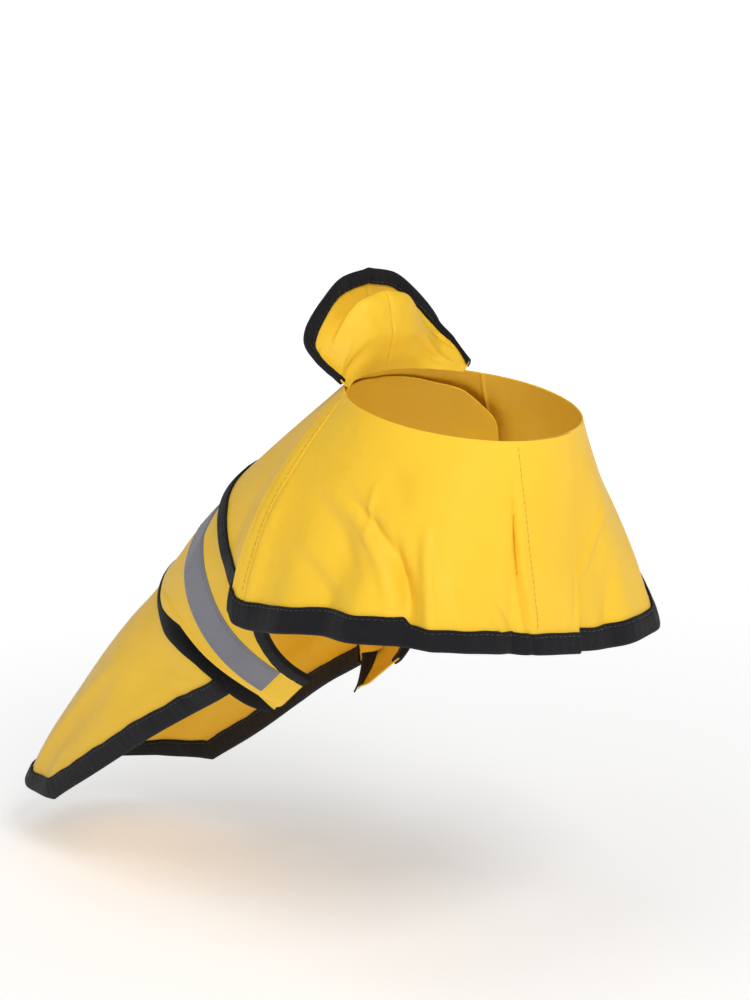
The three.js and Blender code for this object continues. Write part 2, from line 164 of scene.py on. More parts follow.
def mix_floor():
    """A matt near-white that begins to glow with the distance from the middle."""
    finish = Finish("studio_floor", {"Base Color": (0.9, 0.9, 0.9, 1), "Roughness": 0.7,
                                     "Emission Strength": 0.85})
    place = finish.node("ShaderNodeTexCoord", output="Object")
    away = finish.node("ShaderNodeVectorMath", {"operation": "LENGTH"}, {0: place}, "Value")
    glow = finish.node("ShaderNodeMapRange", {}, {"Value": away, "From Min": FLOOR_NEAR,
                                                  "From Max": FLOOR_FAR, "To Min": NEAR_GLOW})
    return finish.dress({"Emission Color": glow})


def mix_wall():
    """Plain even white that takes no light."""
    return Finish("studio_wall", {"Base Color": (0, 0, 0, 1), "Specular IOR Level": 0,
                                  "Emission Color": (1, 1, 1, 1),
                                  "Emission Strength": 1}).material


def stage_piece(name, points, faces, material):
    """A part of the stage, from points in metres."""
    mesh = bpy.data.meshes.new(name)
    mesh.from_pydata(points, [], faces)
    mesh.materials.append(material)
    piece = bpy.data.objects.new(name, mesh)
    bpy.context.scene.collection.objects.link(piece)


corners = FLOOR_REACH * np.array([(-1, -1), (1, -1), (1, 1), (-1, 1)])
floor_corners, wall_top = ([(x, y, height) for x, y in corners]
                           for height in (FLOOR_HEIGHT, WALL_HEIGHT))
stage_piece("studio_floor", floor_corners, [(0, 1, 2, 3)], mix_floor())
stage_piece("studio_wall", floor_corners + wall_top,
            [(k, k + 4, (k + 1) % 4 + 4, (k + 1) % 4) for k in range(4)], mix_wall())


def softbox(name, place, size, watts, aim=(-0.05, 0, -0.08)):
    """A square area lamp at place, turned to aim."""
    data = bpy.data.lights.new(name, "AREA")
    data.size, data.energy = size, watts
    lamp = bpy.data.objects.new(name, data)
    lamp.location = place
    lamp.rotation_mode = "QUATERNION"
    lamp.rotation_quaternion = (Vector(aim) - Vector(place)).to_track_quat("-Z", "Y")
    bpy.context.scene.collection.objects.link(lamp)


softbox("key_light", camera_back * 1.4 + camera_right * 0.55 + UP * 0.95, 0.75, 21.3)
softbox("top_light", camera_back * 0.8 - camera_right * 0.5 + UP * 1.5, 1.2, 9)
softbox("fill_light", camera_back * 0.6 - camera_right * 1.6 + UP * 0.5, 1.2, 1.2)
world = bpy.data.worlds.new("surround")
world.use_nodes = True
sky = world.node_tree.nodes["Background"].inputs
sky["Color"].default_value, sky["Strength"].default_value = (1, 1, 1, 1), 0.2
bpy.context.scene.world = world
bpy.context.scene.view_settings.view_transform = "Standard"

# Tail flap: one piece of thin coated polyester that covers the back from under the saddle to
# the tail and hangs down each side. It is cut with a rounded rear edge and lies on the form.
FORM = np.array([
    # station, fall in degrees, half width, height
    (0, 33.0, 57.0, 64.0),
    (90, 37.6, 55.8, 57.5),
    (160, 41.0, 53.6, 56.5),
    (230, 44.0, 51.0, 52.5),
    (310, 46.5, 51.5, 50.5),
    (400, 54.0, 46.0, 46.5),
]).T
BACK_START = (-58, 4.6)
CLOTH, BINDING = 1.0, 1.0
CLOTH_INSIDE, CLOTH_OUTSIDE = 0.15, 0.85
TAIL_OFF, STRIP_OFF, SADDLE_OFF, CAPE_OFF = 0.3, 1.6, 2.9, 4.3
CLOTH_BRIGHT, CLOTH_DEEP = (0.89, 0.560, 0.034), (0.84, 0.495, 0.022)
CLOTH_WORN = (0.92, 0.62, 0.08)


def reading(x, y):
    """A monotone cubic through the pairs (x, y), held at its first and last value beyond."""
    x, y = np.asarray(x, float), np.asarray(y, float)
    slope = np.diff(y) / np.diff(x)
    a, b = slope[:-1], slope[1:]
    same = a * b > 0
    inner = np.where(same, 2 * a * b / np.where(same, a + b, 1), 0)
    tangent = np.concatenate([slope[:1], inner, slope[-1:]])

    def at(value):
        value = np.clip(value, x[0], x[-1])
        i = np.clip(np.searchsorted(x, value) - 1, 0, len(x) - 2)
        step = x[i + 1] - x[i]
        t = (value - x[i]) / step
        return ((1 + 2 * t) * (1 - t) ** 2 * y[i] + t * (1 - t) ** 2 * step * tangent[i]
                + t * t * (3 - 2 * t) * y[i + 1] + t * t * (t - 1) * step * tangent[i + 1])

    return at


def smooth(value, low, high):
    """0 below low, 1 above high and a smooth step between them."""
    t = np.clip((value - low) / (high - low), 0, 1)
    return t * t * (3 - 2 * t)


fall_at, half_width_at, height_at = (reading(FORM[0], values) for values in FORM[1:])
stations = np.arange(-40, 421.0)
line_fall = np.radians(fall_at(stations[:-1] + 0.5))
line_x = np.concatenate([[0], -np.cumsum(np.cos(line_fall))])
line_z = np.concatenate([[0], -np.cumsum(np.sin(line_fall))])
line_x += BACK_START[0] - line_x[stations == 0]
line_z += BACK_START[1] - line_z[stations == 0]


def on_form(station, degrees, off):
    """A point over the back: the section at a station of the falling back line is half an
    ellipse, degrees run round it from the top, and off is the height along its normal."""
    x, z = np.interp(station, stations, line_x), np.interp(station, stations, line_z)
    fall, angle = np.radians(fall_at(station)), np.radians(degrees)
    half, height = half_width_at(station), height_at(station)
    out_side, out_up = -np.sin(angle) / half, np.cos(angle) / height
    length = np.hypot(out_side, out_up)
    side = -half * np.sin(angle) + off * out_side / length
    up = height * (np.cos(angle) - 1) + off * out_up / length
    return np.stack(np.broadcast_arrays(x - np.sin(fall) * up, side,
                                        z + np.cos(fall) * up), -1)


def creases(across, along, rows):
    """Listed folds: each row is a line between two places, its bow to one side, half width and
    depth (minus is a trough). Across it the fold is a bell, and it fades at the ends."""
    total = 0
    for a0, b0, a1, b1, bow, width, depth in rows:
        run = np.array([a1 - a0, b1 - b0], float)
        length = np.hypot(*run)
        run /= length
        t = ((across - a0) * run[0] + (along - b0) * run[1]) / length
        aside = (across - a0) * -run[1] + (along - b0) * run[0]
        aside = aside - bow * 4 * t * (1 - t)
        fade = smooth(t, -0.12, 0.3) * (1 - smooth(t, 0.7, 1.12))
        total = total + depth * fade * np.exp(-(aside / width) ** 2)
    return total


def uneven(across, along, size, seed):
    """Slow unevenness between about -1 and 1: six crossing waves of about that size."""
    draw = np.random.default_rng(seed)
    total = 0
    for _ in range(6):
        turn, phase = draw.uniform(0, 2 * np.pi, 2)
        scale = draw.uniform(0.7, 1.6)
        wave = (across * np.cos(turn) + along * np.sin(turn)) * 2 * np.pi / (size * scale)
        total = total + np.sin(wave + phase) / 3
    return total


def normals_of(points):
    """Unit normals of a grid of points, from the cross product of its two directions."""
    normal = np.cross(*(np.gradient(points, axis=axis, edge_order=2) for axis in (0, 1)))
    return normal / np.maximum(np.linalg.norm(normal, axis=-1, keepdims=True), 1e-9)


def grid(first, last, count, rows):
    """Two arrays of parameters: count places from first to last by rows from 0 to 1."""
    return np.meshgrid(np.linspace(first, last, count), np.linspace(0, 1, rows), indexing="ij")


def grid_faces(rows, columns, start=0):
    """Quads of a grid of points numbered row by row."""
    i = np.arange(rows - 1)[:, None] * columns + np.arange(columns - 1) + start
    return np.stack([i, i + columns, i + columns + 1, i + 1], -1).reshape(-1, 4)


def new_piece(name, vertices, faces, cut, material, stands_for=None):
    """A smooth closed mesh at the origin, from points in mm and quads, that rides on the
    garment. Its UV map is the place on the cut in mm, and its faces are turned outwards."""
    a, b, c, d = (vertices[faces[:, k]] for k in range(4))
    volume = (a * (np.cross(b, c) + np.cross(c, d))).sum()
    if volume < 0:
        faces = faces[:, ::-1]
    mesh = bpy.data.meshes.new(name)
    mesh.from_pydata((vertices / 1000).tolist(), [], faces.tolist())
    layer = mesh.uv_layers.new(name="cut")
    layer.data.foreach_set("uv", cut[faces.ravel()].astype(np.float32).ravel())
    mesh.polygons.foreach_set("use_smooth", np.ones(len(faces), bool))
    mesh.materials.append(material)
    piece = bpy.data.objects.new(name, mesh)
    bpy.context.scene.collection.objects.link(piece)
    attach(piece, "root")
    if stands_for:
        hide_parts(stands_for)
    return piece


def sharpen(piece, hard):
    """Marks the edges between two hard points as sharp, so that rims don't look inflated."""
    ends = np.zeros(len(piece.data.edges) * 2, np.int32)
    piece.data.edges.foreach_get("vertices", ends)
    sharp = piece.data.attributes.new("sharp_edge", "BOOLEAN", "EDGE")
    sharp.data.foreach_set("value", hard[ends.reshape(-1, 2)].all(1))


def thin_sheet(node, points, cut, side=1, low=CLOTH_INSIDE, high=CLOTH_OUTSIDE, material=None,
               word="cloth", normal=None):
    """A closed thin sheet over a grid of points: its two faces lie at the heights low and high
    over them, towards side of their normal, and a narrow rim joins their borders."""
    rows, columns = points.shape[:2]
    normal = (normals_of(points) if normal is None else normal) * side
    count = rows * columns
    vertices = np.concatenate([(points + normal * high).reshape(-1, 3),
                               (points + normal * low).reshape(-1, 3)])
    number = np.arange(count).reshape(rows, columns)
    border = np.concatenate([number[0, :-1], number[:-1, -1], number[-1, :0:-1],
                             number[:0:-1, 0]])
    after = np.roll(border, -1)
    rim = np.stack([border, after, after + count, border + count], -1)
    faces = np.concatenate([grid_faces(rows, columns),
                            grid_faces(rows, columns, count)[:, ::-1], rim])
    piece = new_piece(f"{node}_{word}", vertices, faces, np.tile(cut.reshape(-1, 2), (2, 1)),
                      material or coated_cloth, node)
    hard = np.zeros(2 * count, bool)
    hard[border] = hard[border + count] = True
    sharpen(piece, hard)
    return piece


def mix_coated_cloth():
    """Woven polyester with a soft rainproof coat: a fine plain weave shows through it, soft
    crinkles a few mm wide catch the light, and the yellow deepens slightly in patches."""
    finish = Finish("coated_cloth", {"Coat Roughness": 0.4, "Coat Weight": 0.03,
                                     "Sheen Weight": 0.02, "Sheen Roughness": 0.5,
                                     "Specular IOR Level": 0.22})
    weave = finish.waves(0.62, 0) * finish.waves(0.62, 1)
    crinkle = finish.noise(75, 3.0, 0.55)
    grain = finish.noise(900, 2.0, 0.6)
    patch = finish.noise(22, 2.0, 0.5)
    colour = finish.mixed(patch, CLOTH_DEEP, CLOTH_BRIGHT)
    dust = finish.node("ShaderNodeValToRGB", {"stops": [(0.35, (0, 0, 0)), (0.8, (1, 1, 1))]},
                       {0: grain})
    colour = finish.mixed(dust * 0.10, colour, CLOTH_WORN)
    return finish.dress({
        "Base Color": colour, "Roughness": 0.4 + 0.14 * crinkle + 0.05 * grain,
        "Normal": finish.bumps([(crinkle, 0.9), (grain, 0.035), (weave, 0.012)]),
    })


coated_cloth = mix_coated_cloth()

TAIL_WIDTH = reading([140, 170, 203, 245, 294, 340, 400], [128, 124, 119, 111, 101, 90, 76])
TAIL_END, TAIL_CORNER, TAIL_ROUND = 393, 52, 2.8
TAIL_TUCK, TAIL_ROOT = 12, 160
TAIL_RISE, TAIL_RISE_FROM, TAIL_RISE_TO = 3.2, 188, 240
MM_PER_DEGREE = 0.93

# Saddle outline by angle from the back line; the tail flap starts under its rear edge
SADDLE = np.array([
    # angle, front, rear, rear edge of the strip behind it
    (0, 7, 184.5, 188),
    (28, 1, 182.5, 186.3),
    (45, -6, 180, 184),
    (60, -6, 177, 182.5),
    (75, 8, 169, 180.5),
    (90, 42, 156.5, 173.5),
    (105, 84, 153.5, 167),
    (120, 103, 154, 164),
    (135, 110, 154.5, 163.5),
    (150, 114, 156.5, 160.5),
]).T
saddle_front, saddle_rear, strip_rear = (reading(SADDLE[0], values) for values in SADDLE[1:])

TAIL_CREASES = [
    # angle, station, angle, station, bow, half width, depth
    (66, 232, 58, 372, 3, 4.5, 2.0),
    (76, 246, 70, 372, 3, 8, -1.8),
    (96, 176, 88, 250, 2, 9, -1.8),
    (34, 214, 44, 330, -3, 9, -0.9),
    (90, 200, 112, 176, 2, 3, 0.9),
    (97, 206, 117, 186, 2, 3, -0.9),
    (74, 300, 84, 348, 2, 4, 0.9),
    (-62, 226, -57, 372, -3, 4.5, 1.8),
    (-74, 240, -68, 368, -3, 8, -1.6),
    (-97, 180, -90, 262, -2, 9, -1.8),
    (-32, 208, -46, 322, 3, 9, -0.9),
    (-92, 204, -112, 180, -2, 3, 0.9),
    (-72, 312, -82, 352, -2, 4, 0.8),
]
FOLDS_FROM, FOLDS_FULL = 98, 112
SADDLE_CREASES = [
    # angle, station, angle, station, bow, half width, depth
    (56, 176, 118, 149, -5, 2.0, 1.3),
    (72, 170, 154, 154, -4, 5, -6.5),
    (20, 112, 34, 168, 2, 8, 0.8),
    (48, 106, 62, 150, 2, 6, 0.6),
    (-58, 175, -116, 150, 5, 2.2, 1.2),
    (-74, 170, -154, 154, 4, 5.5, -5.0),
    (-24, 108, -38, 166, -2, 8, 0.8),
]


def saddle_folds(station, degrees):
    """The folds behind the cape's edge, which the saddle and all that lies on or close under it
    have in common."""
    shape = creases(degrees, station, SADDLE_CREASES) + 0.35 * uneven(degrees, station, 48, 9)
    return smooth(station, FOLDS_FROM, FOLDS_FULL) * shape


def tail_off(station, degrees):
    """The flap's height over the form: close under the saddle, a little free of it behind, with
    its folds and a slow unevenness."""
    behind = station - saddle_rear(abs(degrees))
    under = saddle_folds(station, degrees) * (1 - smooth(behind, 8, 30))
    shape = creases(degrees, station, TAIL_CREASES) + 0.5 * uneven(degrees, station, 55, 4)
    return (TAIL_OFF + TAIL_RISE * smooth(station, TAIL_RISE_FROM, TAIL_RISE_TO) + under
            + shape * smooth(behind, 10, 34))


def tail_end(share):
    """The station of the rear edge, which curves forward to the corners at a share of 1."""
    return TAIL_END - TAIL_CORNER * np.minimum(share, 1) ** TAIL_ROUND


def tail_start(share):
    """The station of the front edge, tucked a little under the saddle's rear edge."""
    return saddle_rear(share * TAIL_WIDTH(TAIL_ROOT)) - TAIL_TUCK


across, along = grid(-1, 1, 211, 141)
station = tail_start(abs(across)) + along * (tail_end(abs(across)) - tail_start(abs(across)))
degrees = across * TAIL_WIDTH(station)
tail_flap = thin_sheet("tail_flap", on_form(station, degrees, tail_off(station, degrees)),
                       np.stack([degrees * MM_PER_DEGREE, station], -1), -1)

# Bound hem of the tail flap: black ribbed polyester tape, folded in half round the edge and
# sewn down with one row of black stitches through both legs.
TAPE_BLACK, TAPE_RUBBED = (0.0035, 0.0036, 0.0048), (0.015, 0.0153, 0.019)
TAIL_SIDE, TAIL_FREE = 0.5, 0.112
TAIL_BINDING_WIDTH, WIDE_GAP = 9.5, 0.5


def mix_binding_tape():
    """Ribbed black tape: ribs run across its width, a finer weave lies in them, and the rib
    tops have rubbed a trace lighter."""
    finish = Finish("binding_tape", {"Sheen Weight": 0.04, "Sheen Roughness": 0.45,
                                     "Specular IOR Level": 0.2})
    ribs = finish.waves(1.15, 0)
    threads = finish.waves(0.5, 1)
    fibre = finish.noise(1400, 2.0, 0.6)
    rubbed = finish.noise(60, 3.0, 0.6)
    colour = finish.mixed((0.25 + 0.14 * ribs) * rubbed + 0.25 * fibre, TAPE_BLACK, TAPE_RUBBED)
    return finish.dress({
        "Base Color": colour, "Roughness": 0.62 + 0.2 * fibre,
        "Normal": finish.bumps([(ribs, 0.07), (threads, 0.03), (fibre, 0.05)]),
    })


binding_tape = mix_binding_tape()


def mix_thread(name, colour, light):
    """Twisted sewing thread: fine slanted plies, a little glossy. Its colour is painted lighter on
    the crests of the plies as painted highlight, and darker in the grooves between them as painted
    shade.
    """
    finish = Finish(name, {"Specular IOR Level": 0.5, "Sheen Weight": 0.2})
    twist = finish.waves(0.45, 0)
    return finish.dress({
        # Painted highlight and shade: the colour follows the twist, light on the ply crests and
        # dark in the grooves.
        "Base Color": finish.mixed(0.5 + 0.5 * twist, colour, light),
        "Roughness": 0.5 + 0.08 * twist, "Normal": finish.bumps([(twist, 0.04)]),
    })


# Each thread's darker colour is painted shade in the grooves between plies, and its lighter colour
# is painted highlight on the crests.
black_thread = mix_thread("black_thread", (0.004, 0.004, 0.006), (0.013, 0.013, 0.016))


def stitches(name, line, normal, material, pitch=3.1, length=2.35, radius=0.2):
    """A row of sewn stitches along a line: each is a six-sided bead of thread that rises from
    the cloth, runs along the line and sinks in again, drawn from five rings."""
    walked = np.concatenate([[0], np.cumsum(np.linalg.norm(np.diff(line, axis=0), axis=1))])
    place = np.arange(0.6 * pitch, walked[-1] - 0.6 * pitch, pitch)

    def at(values, where):
        return np.stack([np.interp(where, walked, values[:, k]) for k in range(3)], -1)

    reach = np.array([-0.5, -0.36, 0, 0.36, 0.5]) * length
    lift = np.array([-0.3, 0.4, 0.8, 0.4, -0.3]) * radius
    size = np.array([0.55, 0.95, 1, 0.95, 0.55]) * radius
    where = place[:, None] + reach
    centre, out = at(line, where), at(normal, where)
    ahead = at(line, where + 0.1) - at(line, where - 0.1)
    ahead /= np.linalg.norm(ahead, axis=-1, keepdims=True)
    aside = np.cross(ahead, out)
    aside /= np.linalg.norm(aside, axis=-1, keepdims=True)
    centre = centre + out * lift[None, :, None]
    turn = np.arange(6) * np.pi / 3
    ring = (aside[:, :, None] * np.cos(turn)[:, None] + out[:, :, None] * np.sin(turn)[:, None])
    points = centre[:, :, None] + ring * size[None, :, None, None]
    side = np.arange(5 - 1)[:, None] * 6 + np.arange(6)
    after = np.arange(5 - 1)[:, None] * 6 + (np.arange(6) + 1) % 6
    quads = np.stack([side, after, after + 6, side + 6], -1).reshape(-1, 4)
    caps = np.array([(3, 2, 1, 0), (5, 4, 3, 0), (24, 25, 26, 27), (24, 27, 28, 29)])
    one = np.concatenate([quads, caps])[None]
    faces = (one + 30 * np.arange(len(place))[:, None, None]).reshape(-1, 4)
    cut = np.stack(np.broadcast_arrays(where[:, :, None] + 0.06 * np.arange(6),
                                       np.arange(6) * 0.2), -1)
    return new_piece(name, points.reshape(-1, 3), faces, cut.reshape(-1, 2), material)


def folded_tape(node, u, width, place, gap, stitched=1.7):
    """Tape folded round the edge of a sheet. place(u, distance) gives points and outward
    normals on the sheet's inner face at a distance in from the edge. The tape's outside runs
    down one leg, dips at the stitches, goes round the edge in half a circle and up the other."""
    run = np.linalg.norm(np.diff(place(u, 0 * u)[0], axis=0), axis=1)
    walked = np.concatenate([[0], np.cumsum(run)])
    wavy = 0.22 * np.sin(walked / 7.3) + 0.14 * np.sin(walked / 3.1 + 1)
    pucker = 0.09 * np.sin(walked / 1.05 + 2 * np.sin(walked / 17))
    half = CLOTH / 2 + gap + BINDING * 0.8
    turn = np.radians(np.linspace(90, -90, 13))
    leg_in = np.array([0, 0.1, 0.45, 1.1, stitched, 2.3])
    leg_high = np.array([-0.95, -0.45, -0.08, 0, -0.34, -0.02])
    spread = np.array([0.62, 0.42, 0.24])
    w = (width + wavy)[:, None]
    leg_distance = np.concatenate([w - leg_in, spread * w], 1)
    leg_rise = np.concatenate([leg_high, [0.02, 0.05, 0.02]]) + pucker[:, None] * 0.8
    round_distance = half - gap - BINDING - half * np.cos(turn) + 0 * w
    distance = np.concatenate([leg_distance, round_distance, leg_distance[:, ::-1]], 1)
    rise = CLOTH / 2 + np.concatenate([half + leg_rise, half * np.sin(turn) + 0 * w,
                                       -half - leg_rise[:, ::-1]], 1)
    inner_half = CLOTH / 2 - 0.06
    inside = np.concatenate([inner_half + 0 * leg_rise, inner_half * np.sin(turn) + 0 * w,
                             -inner_half + 0 * leg_rise], 1) + CLOTH / 2
    inside_distance = np.concatenate([leg_distance, 0.3 - 0.35 * np.cos(turn) + 0 * w,
                                      leg_distance[:, ::-1]], 1)

    def lay(distance, rise):
        """Points in from the edge, or beyond it where the distance is below 0, and raised."""
        points, normals = place(u[:, None] + 0 * distance, np.maximum(distance, 0))
        edge, near = place(u, 0 * u)[0], place(u, 0 * u + 1)[0]
        beyond = (edge - near) / np.linalg.norm(edge - near, axis=1, keepdims=True)
        return (points + normals * rise[..., None]
                - beyond[:, None] * np.minimum(distance, 0)[..., None])

    outer, inner = lay(distance, rise), lay(inside_distance, inside)
    rows, columns = outer.shape[:2]
    loop = np.concatenate([outer, inner[:, ::-1]], 1)
    size = 2 * columns
    i = np.arange(rows - 1)[:, None] * size + np.arange(size)
    j = np.arange(rows - 1)[:, None] * size + (np.arange(size) + 1) % size
    faces = np.stack([i, j, j + size, i + size], -1).reshape(-1, 4)
    k = np.arange(columns - 1)
    cap = np.stack([k, size - 1 - k, size - 2 - k, k + 1], -1)
    faces = np.concatenate([faces, cap, cap[:, ::-1] + (rows - 1) * size])
    profile = np.concatenate([np.arange(columns), np.arange(columns)[::-1]]) * 0.9
    cut = np.stack(np.broadcast_arrays(walked[:, None], profile[None]), -1)
    tape = new_piece(f"{node}_tape", loop.reshape(-1, 3), faces, cut.reshape(-1, 2),
                     binding_tape, node)
    hard = np.zeros((rows, size), bool)
    hard[0] = hard[-1] = True
    sharpen(tape, hard.ravel())
    sewn = [stitches(f"{node}_stitches_{side}", outer[:, k], sign * place(u, w[:, 0] / 2)[1],
                     black_thread)
            for side, k, sign in (("outside", 4, 1), ("inside", columns - 5, -1))]
    return [tape, *sewn]


def along_path(path, off, side, du):
    """Places in from an edge on the form: path(u) gives its station and angle, and the way in
    is square to the path on the form's unrolled surface."""
    def place(u, distance):
        back_station, back_angle = path(u - du)
        here_station, here_angle = path(u)
        ahead_station, ahead_angle = path(u + du)
        arc = np.radians((half_width_at(here_station) + height_at(here_station)) / 2)
        run_station = ahead_station - back_station
        run_angle = (ahead_angle - back_angle) * arc
        length = np.hypot(run_station, run_angle)
        at_station = here_station - side * distance * run_angle / length
        at_angle = here_angle + side * distance * run_station / length / arc

        def point(s, a):
            return on_form(s, a, off(s, a))

        step_s = point(at_station + 1, at_angle) - point(at_station - 1, at_angle)
        step_a = point(at_station, at_angle + 1) - point(at_station, at_angle - 1)
        normal = np.cross(step_s, step_a)
        normal /= np.linalg.norm(normal, axis=-1, keepdims=True)
        return point(at_station, at_angle), normal

    return place


def tail_path(u):
    """The flap's edge from the left side round the rear (the middle half) to the right side."""
    share, side = abs(u), np.where(u < 0, -1, 1)
    up = np.clip((share - TAIL_SIDE) / (1 - TAIL_SIDE), 0, 1)
    row = 1 + up * (TAIL_FREE - 1)
    side_station = tail_start(1) + row * (tail_end(1) - tail_start(1))
    out = np.minimum(share / TAIL_SIDE, 1)
    station = np.where(share > TAIL_SIDE, side_station, tail_end(out))
    return station, side * np.where(share > TAIL_SIDE, 1, out) * TAIL_WIDTH(station)


edge_steps = np.linspace(-1, 1, 501)
tail_hem = folded_tape("tail_hem_binding", edge_steps, TAIL_BINDING_WIDTH + 0 * edge_steps,
                       along_path(tail_path, tail_off, 1, 0.01), WIDE_GAP)

# Black strip behind the saddle: the same tape sewn flat under the saddle's rear edge, broad on
# the flanks and narrow on the back, where it curls up over the edge.
SADDLE_REACH, STRIP_TUCK = 150, 6
STRIP_CROWN, STRIP_LIP = 0.35, 1.5

across, along = grid(-SADDLE_REACH, SADDLE_REACH, 301, 13)
rear, end = saddle_rear(abs(across)), strip_rear(abs(across))
station = rear - STRIP_TUCK + along * (end - rear + STRIP_TUCK)
crown = STRIP_CROWN * np.sqrt(np.clip(1 - (2 * along - 1) ** 2, 0, 1))
lip = STRIP_LIP * smooth(station - rear, 0.4, 1.8) * (1 - smooth(abs(across), 50, 75))
strip_off = STRIP_OFF - 0.3 + crown + lip + saddle_folds(station, across)
strip = thin_sheet("saddle_rear_binding", on_form(station, across, strip_off),
                   np.stack([across * MM_PER_DEGREE, station], -1), -1, 0.1, 1.0, binding_tape,
                   "tape")

# Saddle: the main panel over the back, of the same coated cloth. It comes down the flanks in two
# narrowing tabs that stand open below, and it carries the reflective band. Its free side edges
# are bound with the ribbed tape.
SIDE_BINDING_FROM, SIDE_BINDING_WIDTH = 83.4, 7


def saddle_off(station, degrees):
    """The saddle's height over the form, with its folds."""
    return SADDLE_OFF + saddle_folds(station, degrees)


def cut_of(points):
    """The place of each grid point on the cut: lengths walked along rows and columns."""
    steps = [np.linalg.norm(np.diff(points, axis=k, prepend=np.take(points, [0], k)), axis=-1)
             for k in (0, 1)]
    return np.stack([np.cumsum(steps[0], 0), np.cumsum(steps[1], 1)], -1)


def saddle_points(degrees, along):
    """The saddle from its front edge at 0 to its rear edge at 1, at an angle from the back."""
    front_edge, rear_edge = saddle_front(abs(degrees)), saddle_rear(abs(degrees))
    station = front_edge + along * (rear_edge - front_edge)
    return on_form(station, degrees, saddle_off(station, degrees))


points = saddle_points(*grid(-SADDLE_REACH, SADDLE_REACH, 241, 115))
saddle = thin_sheet("saddle", points, cut_of(points), -1)


def saddle_edge(side):
    """The saddle's front edge on one flank, from under the cape to the end of its tab."""
    return lambda angle: (saddle_front(angle), side * angle)


side_steps = np.linspace(SIDE_BINDING_FROM, SADDLE_REACH, 140)
saddle_trim = [strip]
for side, word in ((1, "right"), (-1, "left")):
    saddle_trim += folded_tape(f"saddle_side_binding_{word}", side_steps,
                               SIDE_BINDING_WIDTH + 0 * side_steps,
                               along_path(saddle_edge(side), saddle_off, -side, 0.5), WIDE_GAP)

# Reflective band: grey tape with a fine grid of glass beads, sewn flat round the saddle with a
# row of grey stitches along each edge.
TAPE_STATION, TAPE_WIDTH, TAPE_SWEEP, TAPE_REACH = 135.2, 23, 2.5, 136
BAND_DARK, BAND_LIGHT = (0.140, 0.142, 0.168), (0.230, 0.233, 0.264)


def mix_reflective_tape():
    """Grey tape: a fine grid of bead cells, slightly uneven grey, and a soft gleam."""
    finish = Finish("reflective_tape", {"Metallic": 0.15, "Specular IOR Level": 0.4,
                                        "Coat Weight": 0.08, "Coat Roughness": 0.3})
    cells = finish.waves(1.0, 0) * finish.waves(1.0, 1)
    cloud = finish.noise(40, 3.0, 0.6)
    grain = finish.noise(1600, 1.0, 0.5)
    colour = finish.mixed(0.55 * cloud + 0.3 * grain + 0.1 * cells, BAND_DARK, BAND_LIGHT)
    return finish.dress({
        "Base Color": colour, "Roughness": 0.42 + 0.16 * grain,
        "Normal": finish.bumps([(cells, 0.03), (grain, 0.03), (cloud, 0.25)]),
    })


reflective_tape = mix_reflective_tape()
# Grey thread, with painted highlight on its ply crests and painted shade in the grooves.
grey_thread = mix_thread("grey_thread", (0.13, 0.13, 0.15), (0.24, 0.24, 0.27))


def band_station(degrees):
    """The band's middle: it runs a little forward down to the flank."""
    return TAPE_STATION - TAPE_SWEEP * (1 - np.cos(np.radians(degrees)))


def band_points(degrees, along, height):
    """Places across the band, 0 at its front edge and 1 at its rear edge, at a height over the
    saddle's outside."""
    station = band_station(degrees) + (along - 0.5) * TAPE_WIDTH
    return on_form(station, degrees, saddle_off(station, degrees) + CLOTH_OUTSIDE + height)


degrees, along = grid(-TAPE_REACH, TAPE_REACH, 283, 17)
points = band_points(degrees, along, 0.12 - 0.3 * abs(2 * along - 1) ** 6)
band = thin_sheet("reflective_tape", points, cut_of(points), -1, 0.05, 0.45, reflective_tape,
                  "tape")
for edge, word in ((0.1, "front"), (0.9, "rear")):
    sweep = np.linspace(-TAPE_REACH, TAPE_REACH, 500)
    line, above = band_points(sweep, edge, 0.42), band_points(sweep, edge, 1.42)
    saddle_trim.append(stitches(f"reflective_tape_stitches_{word}", line, above - line,
                                grey_thread, radius=0.16))
saddle_trim.append(band)

# Cape: a yoke over the shoulders and two fronts that cross at the chest, sewn together at the
# shoulder seams. It hangs free from the neck in soft folds, the right front over the left.
NECK_FRONT, NECK_SIDE, NECK_TILT = 59, 53.8, 8.5
SHOULDER, SEAM, OVERLAP = 135, 126, 11.5
HALF_BACK = 180 - SHOULDER
TURN_FROM = 90
EDGE_LEAN, LEAN_END = 6, 40
YOKE_NECK_ANGLE, YOKE_NECK_STATION = 35.9, -12.5
YOKE_REAR = np.array([
    # across, station, angle, extra height over the form
    (0, 103, 0, 1.9),
    (0.25, 102, 31, 1.9),
    (0.5, 97, 62, 1.9),
    (0.66, 94.5, 80, 2.5),
    (0.82, 86.5, 92, 9),
    (0.92, 79, 98, 16),
    (1, 71.2, 103.3, 29.5),
]).T
HEM = np.array([
    # angle about the neck from the front (plus is the right side), x, y, z
    (-135, -68, 90, -97.5),
    (-122, -52, 92, -101.5),
    (-92, -10, 93, -98.5),
    (-74, 26, 93, -95.5),
    (-64, 38, 89, -105.5),
    (-54, 46, 81, -115.5),
    (-35, 60, 50, -115.5),
    (0, 64, 0, -109.5),
    (35, 60, -50, -100.5),
    (48, 50, -70, -97.5),
    (60, 34, -81, -97),
    (92, -10, -88, -99),
    (122, -52, -91, -103),
    (130, -62, -91.5, -102),
    (135, -68, -90, -97.5),
]).T
FOLDS = [
    # angle, half width in degrees, depth at the hem
    (-118, 8, -3.0), (-99, 10, 3.5), (-76, 9, -3.5), (-55, 9, 3.5), (-32, 8, -2.5),
    (19, 4, -2.2), (45, 4, 1.2), (55, 8, -4.0), (72, 9, 3.0), (87, 8, -2.5), (104, 9, 2.5),
]
UNDERLAP_NECK, UNDERLAP_HEM = 1.7, 5.2
MM_ACROSS, MM_DOWN = 1.5, 110
CREASES_FADE, CREASES_END = 128, 134.5
